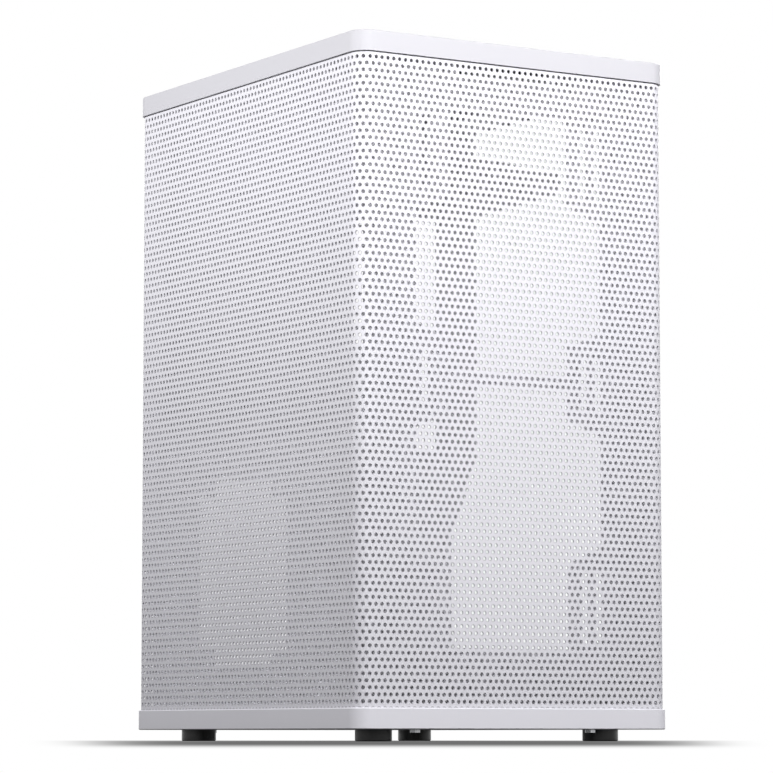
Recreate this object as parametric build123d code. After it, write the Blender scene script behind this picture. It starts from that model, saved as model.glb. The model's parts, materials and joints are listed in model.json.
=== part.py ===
from build123d import *
import os
from math import cos, pi, sqrt

# Desktop computer tower: a folded sheet-metal chassis inside a wrap-around shell, with a base
# tray on four feet, a lift-off cover and a pull-off glass side.
# X runs across the front, Y from the front (-) to the rear (+), Z up from the floor.
# The origin is on the floor under the middle of the case. All sizes are in millimetres.

# ---------------------------------------------------------------- case
body_width = 214.0              # over the base tray and the cover
body_depth = 270.0
body_height = 394.0             # underside of the base tray to the top of the cover
foot_height = 6.8
band_height = 12.0              # upright edge of the tray and of the cover
band_radius = 10.5              # their vertical corners
band_wall = 1.0
band_edge = 0.5                 # bevel along the tray's upper and lower edge
tray_floor = 2.0
cover_plate = 1.5
cover_top_round = 0.8
skin_reveal = 1.4               # how far the bands stand proud of the shell and the glass

# ---------------------------------------------------------------- feet
foot_diameter = 21.0
foot_edge = 0.6
foot_inset_x = 29.0             # foot axis to the tray's side
foot_inset_y = 32.0             # foot axis to the tray's front or rear
foot_screw_head = 6.6
foot_screw_head_height = 2.2
foot_screw_shank = 3.6
foot_screw_recess = 3.4         # floor to the screw head's seat
foot_screw_reach = 1.2          # beyond the tray's floor
bore_sides = 12                 # plain clearance holes are cut as fine polygons

# ---------------------------------------------------------------- shell and glass
shell_sheet = 0.7
shell_return = 14.75            # shell carried round the front-right and rear-left corners
shell_flange = 6.0              # stiffening flange along the top edge
shell_flange_drop = 2.5         # cover plate to the flange
glass_thickness = 4.0
glass_radius = 2.0
glass_chamfer = 0.5
glass_gap = 1.0                 # glass to the shell's return
glass_band_gap = 0.6            # glass to the tray and to the cover
glass_rear_inset = 2.25         # glass to the shell's rear face

# ---------------------------------------------------------------- clearances
slide_gap = 0.3                 # between parts that slide past each other
seat_gap = 0.3                  # between a lift-off piece and what it rests on
screw_clear = 0.2               # round a screw's shank
cut_margin = 1.0                # how far cutters run past a face

# ---------------------------------------------------------------- chassis sheets
chassis_sheet = 1.0
deck_sheet = 1.2
front_gap = 8.0                 # shell's outer face to the fan panel
rear_recess = 9.0               # rear edge of the bands to the rear panel
left_gap = 0.75                 # shell's flange to the chassis
flange = 12.0                   # bent edges of the sheets
front_right_flange = 26.0
frame_screw_head = 5.6
frame_screw_head_height = 1.8
frame_screw_shank = 3.0
frame_screw_length = 5.0
seam_screw_x = 60.0
seam_screw_inset = 7.0          # screw to the panel's face

# ---------------------------------------------------------------- front fan panel
fan_small_pitch = 105.0         # hole spacing of a 120 mm fan
fan_large_pitch = 124.5         # hole spacing of a 140 mm fan
fan_left_slot = 57.2            # the left side has one column of slots, the right side two
fan_slot_width = 4.5
fan_slot_corner = 1.2
window_bar = 9.0                # between the upper and the lower window
window_bottom_margin = 44.0     # tray's floor to the lower window
window_top_margin = 27.0        # upper window to the chassis' top
window_narrow = 82.0            # width beside the fan slots
window_wide = 128.0             # width between the fan slots
window_near_neck = 17.0         # bar to the first shoulder
window_near_shoulder = 8.6      # height of the slope there
window_far_shoulder = 90.3      # bar to the second shoulder
window_far_neck = 100.3         # bar to where it is narrow again
slot_end_run = 42.0             # slots at the outer ends of the windows
slot_mid_run = 31.0             # slots beside the bar
slot_end_inset = 3.5            # window end to slot end

flange_notch_drop = 17.3        # relief in its left flange: below and above the tray's lower edge
flange_notch_rise = 115.2

# ---------------------------------------------------------------- motherboard tray
tray_offset = 21.75             # shell's outer face to the tray
tray_height = 210.0
tray_lip = 6.0
cable_slot_front = 19.6         # fan panel to the tall cable slot
cable_slot_width = 14.0
cable_slot_rise = 5.7           # tray's lower edge to the slot
cable_slot_height = 116.5
board_side = 170.0              # square board
board_top_gap = 8.0             # board to the chassis' top
board_rear_gap = 0.8            # board to the rear panel
board_pitch_y = 154.94          # hole spacings of the board
board_pitch_z = 157.48
board_rear_to_hole = 10.16
standoff_height = 6.35
standoff_across = 5.5
standoff_bore = 3.0
bead_count = 3                  # pressed ribs that stiffen the tray
bead_width = 5.0
bead_height = 1.2
bead_length = 100.0
bead_pitch = 46.0

# ---------------------------------------------------------------- rear panel
io_width = 44.45                # opening for the board's own port plate
io_height = 158.75
io_over_tray = 4.5
slot_count = 2                  # expansion slots
slot_pitch = 20.32
slot_opening = 15.0
slot_length = 108.0
slot_first_drop = 12.2          # port opening to the first slot's middle
slot_start = 3.0                # tray to the slot opening
cover_sheet = 1.0               # blanking plates
cover_width = 18.4
cover_overlap = 2.0             # plate past the slot's end
tab_gap = 3.7                   # slot's end to the turned-out screw tab
tab_reach = 7.8                 # rear panel to the end of tab and ledge
tab_slit_clear = 0.1
ledge_sheet = 1.5
ledge_foot = 11.0
thumbscrew_offset = 4.2         # rear panel to the thumbscrew's axis
thumbscrew_head = 7.2
thumbscrew_head_height = 5.0
thumbscrew_sides = 12
psu_width = 63.5                # upright small-format power supply
psu_height = 125.0
psu_pitch_x = 51.5
psu_pitch_z = 113.0
psu_hole = 3.8
psu_from_tray = 50.25           # board tray to the power supply's middle
psu_from_floor = 95.5
psu_clear = 1.0
psu_border_x = 7.0              # adapter frame beyond the opening
psu_border_z = 5.0
psu_sheet = 1.5
psu_tab = 11.0                  # corner tabs of the frame's opening
psu_lip = 3.5                   # frame over the power supply's top and bottom
psu_screw_inset = 3.2
psu_screw_drop = 14.0
grille_side = 114.0             # rear fan grille, a square sheet behind the panel's round opening
grille_corner = 5.0
vent_diameter = 108.0
vent_sides = 36                 # the panel's opening is cut as a fine polygon round the grille's slots
vent_from_right = 66.2          # chassis' right side to the grille's middle
vent_from_top = 92.0
vent_bar = 4.0
vent_slot = 7.0
vent_spine = 4.0
fan_hole = 4.4
rear_notch_width = 9.0          # tall relief at the rear-right corner, in the panel
rear_notch_height = 149.7
rear_notch_from_top = 51.3

# ---------------------------------------------------------------- right upright
upright_width = 62.8            # upper part, forward from the rear panel
upright_foot_width = 33.2
upright_notch_width = 14.5      # tall relief at the rear-right corner, in the upright
upright_taper = 47.0            # height of the slope, down from the tray's lower edge
arm_reach = 157.6               # rear panel to the arm's forward end
arm_tip_from_top = 41.0
arm_tip_height = 12.0
arm_root_from_top = 17.0
arm_root_height = 39.0
arm_round = 4.0

# ---------------------------------------------------------------- deck
deck_opening_x = 150.0
deck_opening_y = 190.0
deck_opening_radius = 6.0
deck_opening_shift = 12.0

# ---------------------------------------------------------------- snap fittings
stud_neck = 3.0                 # barbed stud, across its neck and its barb
stud_barb = 5.0
stud_depth = 6.0
stud_barb_rise = 2.8
stud_barb_back = 1.2
stud_nose = 2.0
stud_drop = 6.0                 # how far it reaches into its socket
socket_wall = 1.8
socket_length = 8.0
socket_relief = 0.6             # least gap round a cover socket, cut from a tray that stands nearer
stud_shoulder = 9.0
stud_hole_clear = 0.6
bracket_sheet = 0.9
bracket_gap = 0.5               # glass bracket to the chassis sheet behind it
bracket_y = 14.0
bracket_z = 22.0
cover_stud_inset_x = 16.0       # to the cover's side
cover_stud_inset_y = 23.0       # to the cover's front or rear
glass_stud_front = 15.6         # behind the fan panel
glass_stud_rear = 24.0          # before the rear panel
glass_stud_low = 52.0           # above the tray's floor
glass_stud_high = 38.0          # below the chassis' top

# ---------------------------------------------------------------- vents
vent_rows_base = 8
vent_pitch_base = 20.0
vent_length_base = 110.0
vent_width_base = 8.0
vent_rows_top = 11
vent_columns_top = 2
vent_pitch_top_y = 14.0
vent_pitch_top_x = 78.0
vent_length_top = 68.0
vent_width_top = 6.0
vent_shift_top = 12.0
vent_corner = 1.6               # bevel of a vent's corners

# ---------------------------------------------------------------- ports on the top
port_plate_width = 66.0
port_plate_depth = 15.0
port_plate_radius = 2.8
port_plate_setback = 16.0       # cover's front to the middle of the port plate
port_recess = 0.3               # port plate below the cover's top
port_drop = 15.0                # port plate's top to the circuit board
port_side_drop = 7.0            # depth of the housing beside its middle boss
port_boss_left = -9.0
port_boss_right = 18.0
port_clear = 0.35               # housing to the cover's cut-out
port_sheet_clear = 1.0          # housing and board to the chassis sheets
port_board_sheet = 1.6
port_board_inset_x = 4.0
port_board_inset_y = 0.5
usb_a_x = -21.0
usb_a_width = 14.5
usb_a_depth = 7.0
usb_a_below = 0.6               # port's rim below the plate
usb_a_bore = 10.0
usb_a_tongue_inset = 1.4
usb_a_tongue = 1.6
usb_a_tongue_offset = 0.6
usb_c_x = -3.0
usb_c_width = 9.2
usb_c_depth = 3.4
usb_c_radius = 1.6
usb_c_below = 0.4
usb_c_bore = 7.0
usb_c_tongue_width = 6.6
usb_c_tongue = 0.7
port_shell = 0.5                # metal of the port shells
audio_x = 9.0
audio_diameter = 6.0
audio_bore = 3.6
audio_floor = 2.0
button_x = 24.0
button_diameter = 9.4
button_edge = 0.4
button_flange = 11.4
button_flange_sheet = 1.0
button_throat = 2.6             # narrow part of the button's hole
button_clear = 0.3
button_travel = 1.5
button_proud = 0.4
switch_across = 6.0
switch_plunger = 3.4
switch_plunger_rise = 1.0
ear_post = 3.5                  # screw ears beside the housing
ear_length = 9.0
ear_depth = 10.0
ear_sheet = 1.6
ear_screw_offset = 5.5

# ---------------------------------------------------------------- drive plate
drive_width = 69.85             # 2.5 inch drive
drive_depth = 100.0
drive_hole_x = 61.72
drive_hole_y = 76.6
drive_hole = 3.4
drive_border_x = 6.0
drive_border_y = 4.0
drive_lift = 5.0
drive_rim = 21.0                # metal left round its opening
drive_x = 34.0
drive_y = -52.0

# ---------------------------------------------------------------- derived places
half_w = body_width / 2
half_d = body_depth / 2
top = foot_height + body_height
tray_top = foot_height + band_height
floor_z = foot_height + tray_floor
cover_bottom = top - band_height
cover_inside = top - cover_plate
skin_w = body_width - 2 * skin_reveal
skin_d = body_depth - 2 * skin_reveal
skin_radius = band_radius - skin_reveal
shell_bottom = floor_z + slide_gap
shell_top = cover_inside - shell_flange_drop
front_face = -skin_d / 2 + front_gap
front_inner = front_face + chassis_sheet
rear_face = half_d - rear_recess
rear_inner = rear_face - chassis_sheet
grille_face = rear_inner - chassis_sheet
glass_outer = skin_w / 2
glass_inner = glass_outer - glass_thickness
bracket_face = glass_inner - bracket_sheet
frame_right = bracket_face - bracket_gap
frame_left = -skin_w / 2 + shell_sheet + shell_flange + left_gap
frame_top = cover_bottom
deck_top = frame_top + deck_sheet
window_height = (frame_top - floor_z - window_bottom_margin - window_top_margin - window_bar) / 2
windows_middle = floor_z + window_bottom_margin + window_height + window_bar / 2
tray_face = -skin_w / 2 + tray_offset
tray_bottom = frame_top - tray_height
cable_slot_middle_y = front_inner + cable_slot_front + cable_slot_width / 2
cable_slot_middle_z = tray_bottom + cable_slot_rise + cable_slot_height / 2
board_top = frame_top - board_top_gap
board_middle_z = board_top - board_side / 2
board_hole_rear = rear_inner - board_rear_gap - board_rear_to_hole
io_left = tray_face + io_over_tray
io_bottom = board_middle_z - io_height / 2
slot_left = tray_face + slot_start
slot_right = slot_left + slot_length
slot_middles = [io_bottom - slot_first_drop - slot_pitch * k for k in range(slot_count)]
tab_left = slot_right + tab_gap
ledge_left = tab_left + cover_sheet
thumbscrew_y = rear_face + thumbscrew_offset
psu_middle_x = tray_face + psu_from_tray
psu_middle_z = floor_z + psu_from_floor
psu_frame_w = psu_width + 2 * psu_clear + 2 * psu_border_x
psu_frame_h = psu_height + 2 * psu_clear + 2 * psu_border_z
vent_middle_x = frame_right - vent_from_right
vent_middle_z = frame_top - vent_from_top
rear_notch_top = frame_top - rear_notch_from_top
rear_notch_bottom = rear_notch_top - rear_notch_height
upright_front = rear_face - upright_width
upright_foot_front = rear_face - upright_foot_width
upright_notch_front = rear_face - upright_notch_width
arm_tip = rear_face - arm_reach
arm_tip_top = frame_top - arm_tip_from_top
arm_root_top = frame_top - arm_root_from_top
port_y = -half_d + port_plate_setback
port_top = top - port_recess
port_side_bottom = port_top - port_side_drop
port_board_top = port_top - port_drop
button_bottom = port_top - button_throat - button_clear - button_flange_sheet
switch_top = button_bottom - button_travel - seat_gap
signs = [(sx, sy) for sx in (-1, 1) for sy in (-1, 1)]
foot_points = [(sx * (half_w - foot_inset_x), sy * (half_d - foot_inset_y)) for sx, sy in signs]
seam_points = [(sx * seam_screw_x, y) for sx in (-1, 1)
               for y in (front_face + seam_screw_inset, rear_face - seam_screw_inset)]
socket_bore_u, socket_bore_v = stud_barb + 2 * slide_gap, stud_depth + 2 * slide_gap
socket_u, socket_v = socket_bore_u + 2 * socket_wall, socket_bore_v + 2 * socket_wall
cover_stud_points = [(sx * (half_w - cover_stud_inset_x), sy * (half_d - cover_stud_inset_y))
                     for sx, sy in signs]
glass_stud_levels = (floor_z + glass_stud_low, frame_top - glass_stud_high)
front_stud_points = [(front_face + glass_stud_front, z) for z in glass_stud_levels]
rear_stud_points = [(rear_face - glass_stud_rear, z) for z in glass_stud_levels]
fan_hole_points = [(vent_middle_x + sx * fan_small_pitch / 2, vent_middle_z + sz * fan_small_pitch / 2)
                   for sx, sz in signs]
board_points = [(board_hole_rear - k * board_pitch_y, board_middle_z + s * board_pitch_z / 2)
                for k in (0, 1) for s in (-1, 1)]
psu_points = [(psu_middle_x + sx * psu_pitch_x / 2, psu_middle_z + sz * psu_pitch_z / 2)
              for sx, sz in signs]
psu_screw_points = [(psu_middle_x + sx * (psu_frame_w / 2 - psu_screw_inset),
                     psu_middle_z + sz * (psu_frame_h / 2 - psu_screw_drop)) for sx, sz in signs]
ear_points = [side * (port_plate_width / 2 + ear_screw_offset) for side in (-1, 1)]


# ---------------------------------------------------------------- helpers
def block(x0, x1, y0, y1, z0, z1):
    """Box between two corners."""
    return Pos((x0 + x1) / 2, (y0 + y1) / 2, (z0 + z1) / 2) * Box(x1 - x0, y1 - y0, z1 - z0)


def rod(diameter, length, at, direction):
    """Cylinder from a point along a signed axis."""
    return extrude(Plane(origin=at, z_dir=direction) * Circle(diameter / 2), amount=length)


def polygon_rod(diameter, sides, length, at, direction):
    """Straight-sided bar from a point, by its size across corners."""
    return extrude(Plane(origin=at, z_dir=direction) * RegularPolygon(diameter / 2, sides), amount=length)


def clearance_hole(shank, length, at, direction):
    """Cutter for a screw's clearance hole."""
    return polygon_rod(shank + 4 * screw_clear, bore_sides, length, at, direction)


def hexagon_rod(across, length, at, direction):
    """Six-sided bar from a point, by its size across flats."""
    return polygon_rod(2 * across / sqrt(3), 6, length, at, direction)


def slab(width, depth, radius, z0, z1):
    """Upright block with rounded vertical corners, centred on the case."""
    return Pos(0, 0, z0) * extrude(RectangleRounded(width, depth, radius), amount=z1 - z0)


def plate_xz(points, y0, y1):
    """Sheet across the case, from its outline."""
    face = make_face(Polyline(*[(x, y0, z) for x, z in points], close=True))
    return extrude(face, amount=y1 - y0, dir=(0, 1, 0))


def plate_yz(points, x0, x1):
    """Sheet along the case, from its outline."""
    face = make_face(Polyline(*[(x0, y, z) for y, z in points], close=True))
    return extrude(face, amount=x1 - x0, dir=(1, 0, 0))


def bevelled_outline(width, height, corner, u, v):
    """Rectangle with its corners cut off, as eight points."""
    a, b = width / 2, height / 2
    quarter = [(a, b - corner), (a - corner, b)]
    right_top = quarter
    left_top = [(-x, y) for x, y in reversed(quarter)]
    lower = [(-x, -y) for x, y in right_top + left_top]
    return [(u + x, v + y) for x, y in right_top + left_top + lower]


def vent_z(width, depth, x, y, z0, z1):
    """Cutter for one vent slot through a level sheet."""
    outline = bevelled_outline(width, depth, vent_corner, x, y)
    face = make_face(Polyline(*[(a, b, z0) for a, b in outline], close=True))
    return extrude(face, amount=z1 - z0, dir=(0, 0, 1))


def rounded_cut_z(width, depth, radius, x, y, z0, z1):
    return Pos(x, y, z0) * extrude(RectangleRounded(width, depth, radius), amount=z1 - z0)


def group(solids):
    """Several separate solids in one node."""
    return Compound(children=list(solids))


def write(name, shape):
    export_step(shape, f"parts/{name}.step")


def screw(at, direction, head, head_height, shank, length):
    """Hexagon-head screw: its head stands out along the direction, its shank runs back."""
    back = tuple(-d for d in direction)
    return hexagon_rod(head, head_height, at, direction) + polygon_rod(shank, 6, length, at, back)


def with_seam_holes(body):
    """Clearance for the screws that join tray and chassis."""
    for x, y in seam_points:
        start = (x, y, foot_height - cut_margin)
        body -= clearance_hole(frame_screw_shank, tray_floor + flange, start, (0, 0, 1))
    return body


# ---------------------------------------------------------------- base tray and feet
def base_tray():
    """Pressed tray with an upright edge, vent slots and screw holes."""
    body = slab(body_width, body_depth, band_radius, foot_height, tray_top)
    body -= slab(body_width - 2 * band_wall, body_depth - 2 * band_wall, band_radius - band_wall,
                 floor_z, tray_top + cut_margin)
    outer = body.faces().filter_by(Axis.Z).sort_by(Axis.Z)
    body = chamfer(outer[0].outer_wire().edges() + outer[-1].outer_wire().edges(), band_edge)
    low, high = foot_height - cut_margin, floor_z + cut_margin
    for row in range(vent_rows_base):
        y = (row - (vent_rows_base - 1) / 2) * vent_pitch_base
        body -= vent_z(vent_length_base, vent_width_base, 0, y, low, high)
    for x, y in foot_points:
        body -= clearance_hole(foot_screw_shank, high - low, (x, y, low), (0, 0, 1))
    return with_seam_holes(body)


def foot(x, y):
    body = rod(foot_diameter, foot_height, (x, y, 0), (0, 0, 1))
    body = chamfer(body.edges().group_by(Axis.Z)[0], foot_edge)
    recess = 2 * foot_screw_head / sqrt(3) + 4 * screw_clear
    body -= polygon_rod(recess, bore_sides, foot_screw_recess, (x, y, 0), (0, 0, 1))
    return body - clearance_hole(foot_screw_shank, foot_height, (x, y, 0), (0, 0, 1))


def foot_screw(x, y):
    length = floor_z - foot_screw_recess + foot_screw_reach
    at = (x, y, foot_screw_recess)
    return screw(at, (0, 0, -1), foot_screw_head, foot_screw_head_height, foot_screw_shank, length)


def seam_screws():
    return group(screw((x, y, foot_height), (0, 0, -1), frame_screw_head, frame_screw_head_height,
                       frame_screw_shank, tray_floor + frame_screw_length) for x, y in seam_points)


# ---------------------------------------------------------------- snap fittings
def barbed_stud(at, direction, length, shoulder=0.0):
    """Moulded stud: straight neck, barb and nose, with a block for a shoulder where it has one."""
    neck, barb, nose = stud_neck / 2, stud_barb / 2, stud_nose / 2
    rise = length - stud_barb_rise
    half = [(neck, 0), (neck, rise - stud_barb_back), (barb, rise), (nose, length)]
    profile = half + [(-u, w) for u, w in reversed(half)]
    face = make_face(Polyline(*[(u, -stud_depth / 2, w) for u, w in profile], close=True))
    body = extrude(face, amount=stud_depth, dir=(0, 1, 0))
    if shoulder:
        body += Pos(0, 0, shoulder / 2) * Box(stud_shoulder, stud_shoulder, shoulder)
    return Plane(origin=at, z_dir=direction, x_dir=(0, 1, 0)).location * body


def snap_socket(at, direction):
    """Sleeve that takes a barbed stud."""
    body = Box(socket_u, socket_v, socket_length)
    body -= Box(socket_bore_u, socket_bore_v, socket_length + cut_margin)
    return Plane(origin=at, z_dir=direction, x_dir=(0, 1, 0)).location * Pos(0, 0, socket_length / 2) * body


def stud_hole_z(x, y, z0, z1):
    """Hole in a level sheet; a stud's neck lies along X there and its barb across Y."""
    half_y, half_x = stud_barb / 2 + stud_hole_clear, stud_depth / 2 + stud_hole_clear
    return block(x - half_x, x + half_x, y - half_y, y + half_y, z0, z1)


def stud_hole_x(y, z, x0, x1):
    half_y, half_z = stud_barb / 2 + stud_hole_clear, stud_depth / 2 + stud_hole_clear
    return block(x0, x1, y - half_y, y + half_y, z - half_z, z + half_z)


# ---------------------------------------------------------------- cover
def top_cover():
    """Pressed lid with an upright edge, two columns of vents and the cut-out for the ports."""
    body = slab(body_width, body_depth, band_radius, cover_bottom, top)
    body = fillet(body.faces().sort_by(Axis.Z)[-1].outer_wire().edges(), cover_top_round)
    body -= slab(body_width - 2 * band_wall, body_depth - 2 * band_wall, band_radius - band_wall,
                 cover_bottom - cut_margin, cover_inside)
    low, high = cover_inside - cut_margin, top + cut_margin
    for row in range(vent_rows_top):
        for column in range(vent_columns_top):
            y = vent_shift_top + (row - (vent_rows_top - 1) / 2) * vent_pitch_top_y
            x = (column - (vent_columns_top - 1) / 2) * vent_pitch_top_x
            body -= vent_z(vent_length_top, vent_width_top, x, y, low, high)
    return body - rounded_cut_z(port_plate_width + 2 * port_clear, port_plate_depth + 2 * port_clear,
                                port_plate_radius + port_clear, 0, port_y, low, high)


def cover_studs():
    length = cover_inside - frame_top + stud_drop
    shoulder = cover_inside - deck_top - seat_gap
    return group(barbed_stud((x, y, cover_inside), (0, 0, -1), length, shoulder)
                 for x, y in cover_stud_points)


def cover_sockets():
    return group(snap_socket((x, y, frame_top), (0, 0, -1)) for x, y in cover_stud_points)


# ---------------------------------------------------------------- shell and glass
def mesh_shell():
    """One bent sheet round the front and the left side, with a return at each end and a top flange."""
    def ring(inset):
        radius = max(skin_radius - inset, chassis_sheet)
        return RectangleRounded(skin_w - 2 * inset, skin_d - 2 * inset, radius)

    right_opening = Pos(skin_w / 2, shell_return / 2) * Rectangle(skin_w, skin_d - shell_return)
    rear_opening = Pos(shell_return / 2, skin_d / 2) * Rectangle(skin_w - shell_return, skin_d)
    wall = ring(0) - ring(shell_sheet) - right_opening - rear_opening
    rim = ring(0) - ring(shell_sheet + shell_flange) - right_opening - rear_opening
    body = Pos(0, 0, shell_bottom) * extrude(wall, amount=shell_top - shell_bottom)
    body += Pos(0, 0, shell_top - shell_sheet) * extrude(rim, amount=shell_sheet)
    notch = port_plate_width / 2 + shell_flange
    inside = -skin_d / 2 + shell_sheet
    return body - block(-notch, notch, inside, inside + shell_flange + cut_margin,
                        shell_top - shell_sheet, shell_top + cut_margin)


def glass_panel():
    y0 = -skin_d / 2 + shell_return + glass_gap
    y1 = skin_d / 2 - glass_rear_inset
    z0, z1 = tray_top + glass_band_gap, cover_bottom - glass_band_gap
    plane = Plane(origin=(glass_inner, (y0 + y1) / 2, (z0 + z1) / 2), x_dir=(0, 1, 0), z_dir=(1, 0, 0))
    body = extrude(plane * RectangleRounded(y1 - y0, z1 - z0, glass_radius), amount=glass_thickness)
    return chamfer(body.faces().sort_by(Axis.X)[-1].edges(), glass_chamfer)


def glass_brackets():
    """Steel pads bonded inside the glass, one behind each stud."""
    half_y, half_z = bracket_y / 2, bracket_z / 2
    return group(block(bracket_face, glass_inner, y - half_y, y + half_y, z - half_z, z + half_z)
                 for y, z in front_stud_points + rear_stud_points)


def glass_studs():
    length = bracket_gap + chassis_sheet + stud_drop
    return group(barbed_stud((bracket_face, y, z), (-1, 0, 0), length)
                 for y, z in front_stud_points + rear_stud_points)


def glass_sockets():
    x = frame_right - chassis_sheet
    return group(snap_socket((x, y, z), (-1, 0, 0)) for y, z in front_stud_points + rear_stud_points)


# ---------------------------------------------------------------- chassis sheets
def fan_window(side):
    """Outline of one fan window, above (+1) or below (-1) the bar; wide only between the fan slots."""
    narrow, wide = window_narrow / 2, window_wide / 2
    steps = [(narrow, 0), (narrow, window_near_neck), (wide, window_near_neck + window_near_shoulder),
             (wide, window_far_shoulder), (narrow, window_far_neck), (narrow, window_height)]
    start = windows_middle + side * window_bar / 2
    right = [(x, start + side * rise) for x, rise in steps]
    return right + [(-x, z) for x, z in reversed(right)]


def fan_slot(x, z, run):
    outline = bevelled_outline(fan_slot_width, run, fan_slot_corner, x, z)
    return plate_xz(outline, front_face - cut_margin, front_inner + cut_margin)


def front_fan_panel():
    """Folded sheet behind the shell: two fan windows, slots for two fan sizes, a notch for the ports."""
    notch = port_plate_width / 2 + port_sheet_clear
    notch_z = port_board_top - port_board_sheet - port_sheet_clear
    outline = [(frame_left, floor_z), (frame_right, floor_z), (frame_right, frame_top), (notch, frame_top),
               (notch, notch_z), (-notch, notch_z), (-notch, frame_top), (frame_left, frame_top)]
    body = plate_xz(outline, front_face, front_inner)
    notch_low, notch_high = tray_bottom - flange_notch_drop, tray_bottom + flange_notch_rise
    for low, high in ((floor_z, notch_low), (notch_high, frame_top)):
        body += block(frame_left, frame_left + chassis_sheet, front_face, front_face + flange, low, high)
    body += block(frame_right - chassis_sheet, frame_right, front_face, front_face + front_right_flange,
                  floor_z, frame_top)
    body += block(frame_left, frame_right, front_face, front_face + flange,
                  floor_z, floor_z + chassis_sheet)
    for side in (-1, 1):
        body -= plate_xz(fan_window(side), front_face - cut_margin, front_inner + cut_margin)
    end_offset = window_bar / 2 + window_height - slot_end_inset - slot_end_run / 2
    runs = [(windows_middle - end_offset, slot_end_run), (windows_middle, slot_mid_run),
            (windows_middle + end_offset, slot_end_run)]
    for z, run in runs:
        for x in (-fan_left_slot, fan_small_pitch / 2, fan_large_pitch / 2):
            body -= fan_slot(x, z, run)
    for y, z in front_stud_points:
        body -= stud_hole_x(y, z, frame_right - chassis_sheet - cut_margin, frame_right + cut_margin)
    return with_seam_holes(body)


def motherboard_tray():
    """Sheet that carries the board, with a folded lower lip and pressed ribs on its back."""
    back = tray_face - chassis_sheet
    body = block(back, tray_face, front_inner, rear_inner, tray_bottom, frame_top)
    lip_top = tray_bottom + chassis_sheet
    body += block(back - tray_lip, tray_face, front_inner, rear_inner, tray_bottom, lip_top)
    middle_y = board_hole_rear - board_pitch_y / 2
    for k in range(bead_count):
        z = board_middle_z + (k - (bead_count - 1) / 2) * bead_pitch
        profile = [(back, z - bead_width / 2), (back - bead_height, z - bead_width / 4),
                   (back - bead_height, z + bead_width / 4), (back, z + bead_width / 2)]
        body += plate_xz(profile, middle_y - bead_length / 2, middle_y + bead_length / 2)
    outline = bevelled_outline(cable_slot_width, cable_slot_height, vent_corner,
                               cable_slot_middle_y, cable_slot_middle_z)
    body -= plate_yz(outline, back - cut_margin, tray_face + cut_margin)
    reach_x, reach_y = socket_v / 2 + socket_relief, socket_u / 2 + socket_relief
    for x, y in cover_stud_points:
        body -= block(x - reach_x, x + reach_x, y - reach_y, y + reach_y,
                      frame_top - socket_length - socket_relief, frame_top + cut_margin)
    for y, z in board_points:
        body -= polygon_rod(standoff_bore, bore_sides, chassis_sheet + 2 * cut_margin,
                            (back - cut_margin, y, z), (1, 0, 0))
    return body


def standoff(y, z):
    body = hexagon_rod(standoff_across, standoff_height, (tray_face, y, z), (1, 0, 0))
    return body - rod(standoff_bore, standoff_height + cut_margin, (tray_face, y, z), (1, 0, 0))


def vent_cutters():
    """Slots of the rear fan grille: level rows inside a circle, either side of a spine."""
    radius = vent_diameter / 2
    pitch = vent_bar + vent_slot
    rows = int((vent_diameter + vent_bar) / pitch)
    cutters = []
    for row in range(rows):
        rise = (row - (rows - 1) / 2) * pitch
        reach = sqrt(radius ** 2 - (abs(rise) + vent_slot / 2) ** 2)
        run = reach - vent_spine / 2
        for side in (-1, 1):
            x = vent_middle_x + side * (vent_spine / 2 + run / 2)
            outline = bevelled_outline(run, vent_slot, vent_corner, x, vent_middle_z + rise)
            cutters.append(plate_xz(outline, grille_face - cut_margin, rear_inner + cut_margin))
    return cutters


def rear_grille():
    """Square sheet behind the rear panel's round opening: level slots in a circle, a fan's four holes."""
    outline = bevelled_outline(grille_side, grille_side, grille_corner, vent_middle_x, vent_middle_z)
    body = plate_xz(outline, grille_face, rear_inner)
    for cutter in vent_cutters():
        body -= cutter
    depth = chassis_sheet + 2 * cut_margin
    for x, z in fan_hole_points:
        body -= polygon_rod(fan_hole + 2 * screw_clear, bore_sides, depth, (x, grille_face - cut_margin, z),
                            (0, 1, 0))
    return body


def rear_panel():
    """Folded sheet with the port opening, expansion slots, power supply opening and fan opening."""
    low, high = rear_inner - cut_margin, rear_face + cut_margin
    body = block(frame_left, frame_right, rear_inner, rear_face, floor_z, frame_top)
    body += block(frame_left, frame_left + chassis_sheet, rear_face - flange, rear_face, floor_z, frame_top)
    body += block(frame_left, frame_right - chassis_sheet, rear_face - flange, rear_face,
                  floor_z, floor_z + chassis_sheet)
    body -= block(io_left, io_left + io_width, low, high, io_bottom, io_bottom + io_height)
    slit_left = tab_left - tab_slit_clear
    slit_right = tab_left + cover_sheet + tab_slit_clear
    for z in slot_middles:
        body -= block(slot_left, slot_right, low, high, z - slot_opening / 2, z + slot_opening / 2)
        body -= block(slit_left, slit_right, low, high, z - cover_width / 2 - tab_slit_clear,
                      z + cover_width / 2 + tab_slit_clear)
    half_x, half_z = psu_width / 2 + psu_clear, psu_height / 2 + psu_clear
    body -= block(psu_middle_x - half_x, psu_middle_x + half_x, low, high,
                  psu_middle_z - half_z, psu_middle_z + half_z)
    body -= block(frame_right - rear_notch_width, frame_right + cut_margin, low, high,
                  rear_notch_bottom, rear_notch_top)
    depth = chassis_sheet + 2 * cut_margin
    body -= polygon_rod(vent_diameter / cos(pi / vent_sides), vent_sides, depth,
                        (vent_middle_x, low, vent_middle_z), (0, 1, 0))
    for x, z in fan_hole_points:
        body -= rod(fan_hole, depth, (x, low, z), (0, 1, 0))
    for x, z in psu_screw_points:
        body -= clearance_hole(frame_screw_shank, depth, (x, low, z), (0, 1, 0))
    return with_seam_holes(body)


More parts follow.
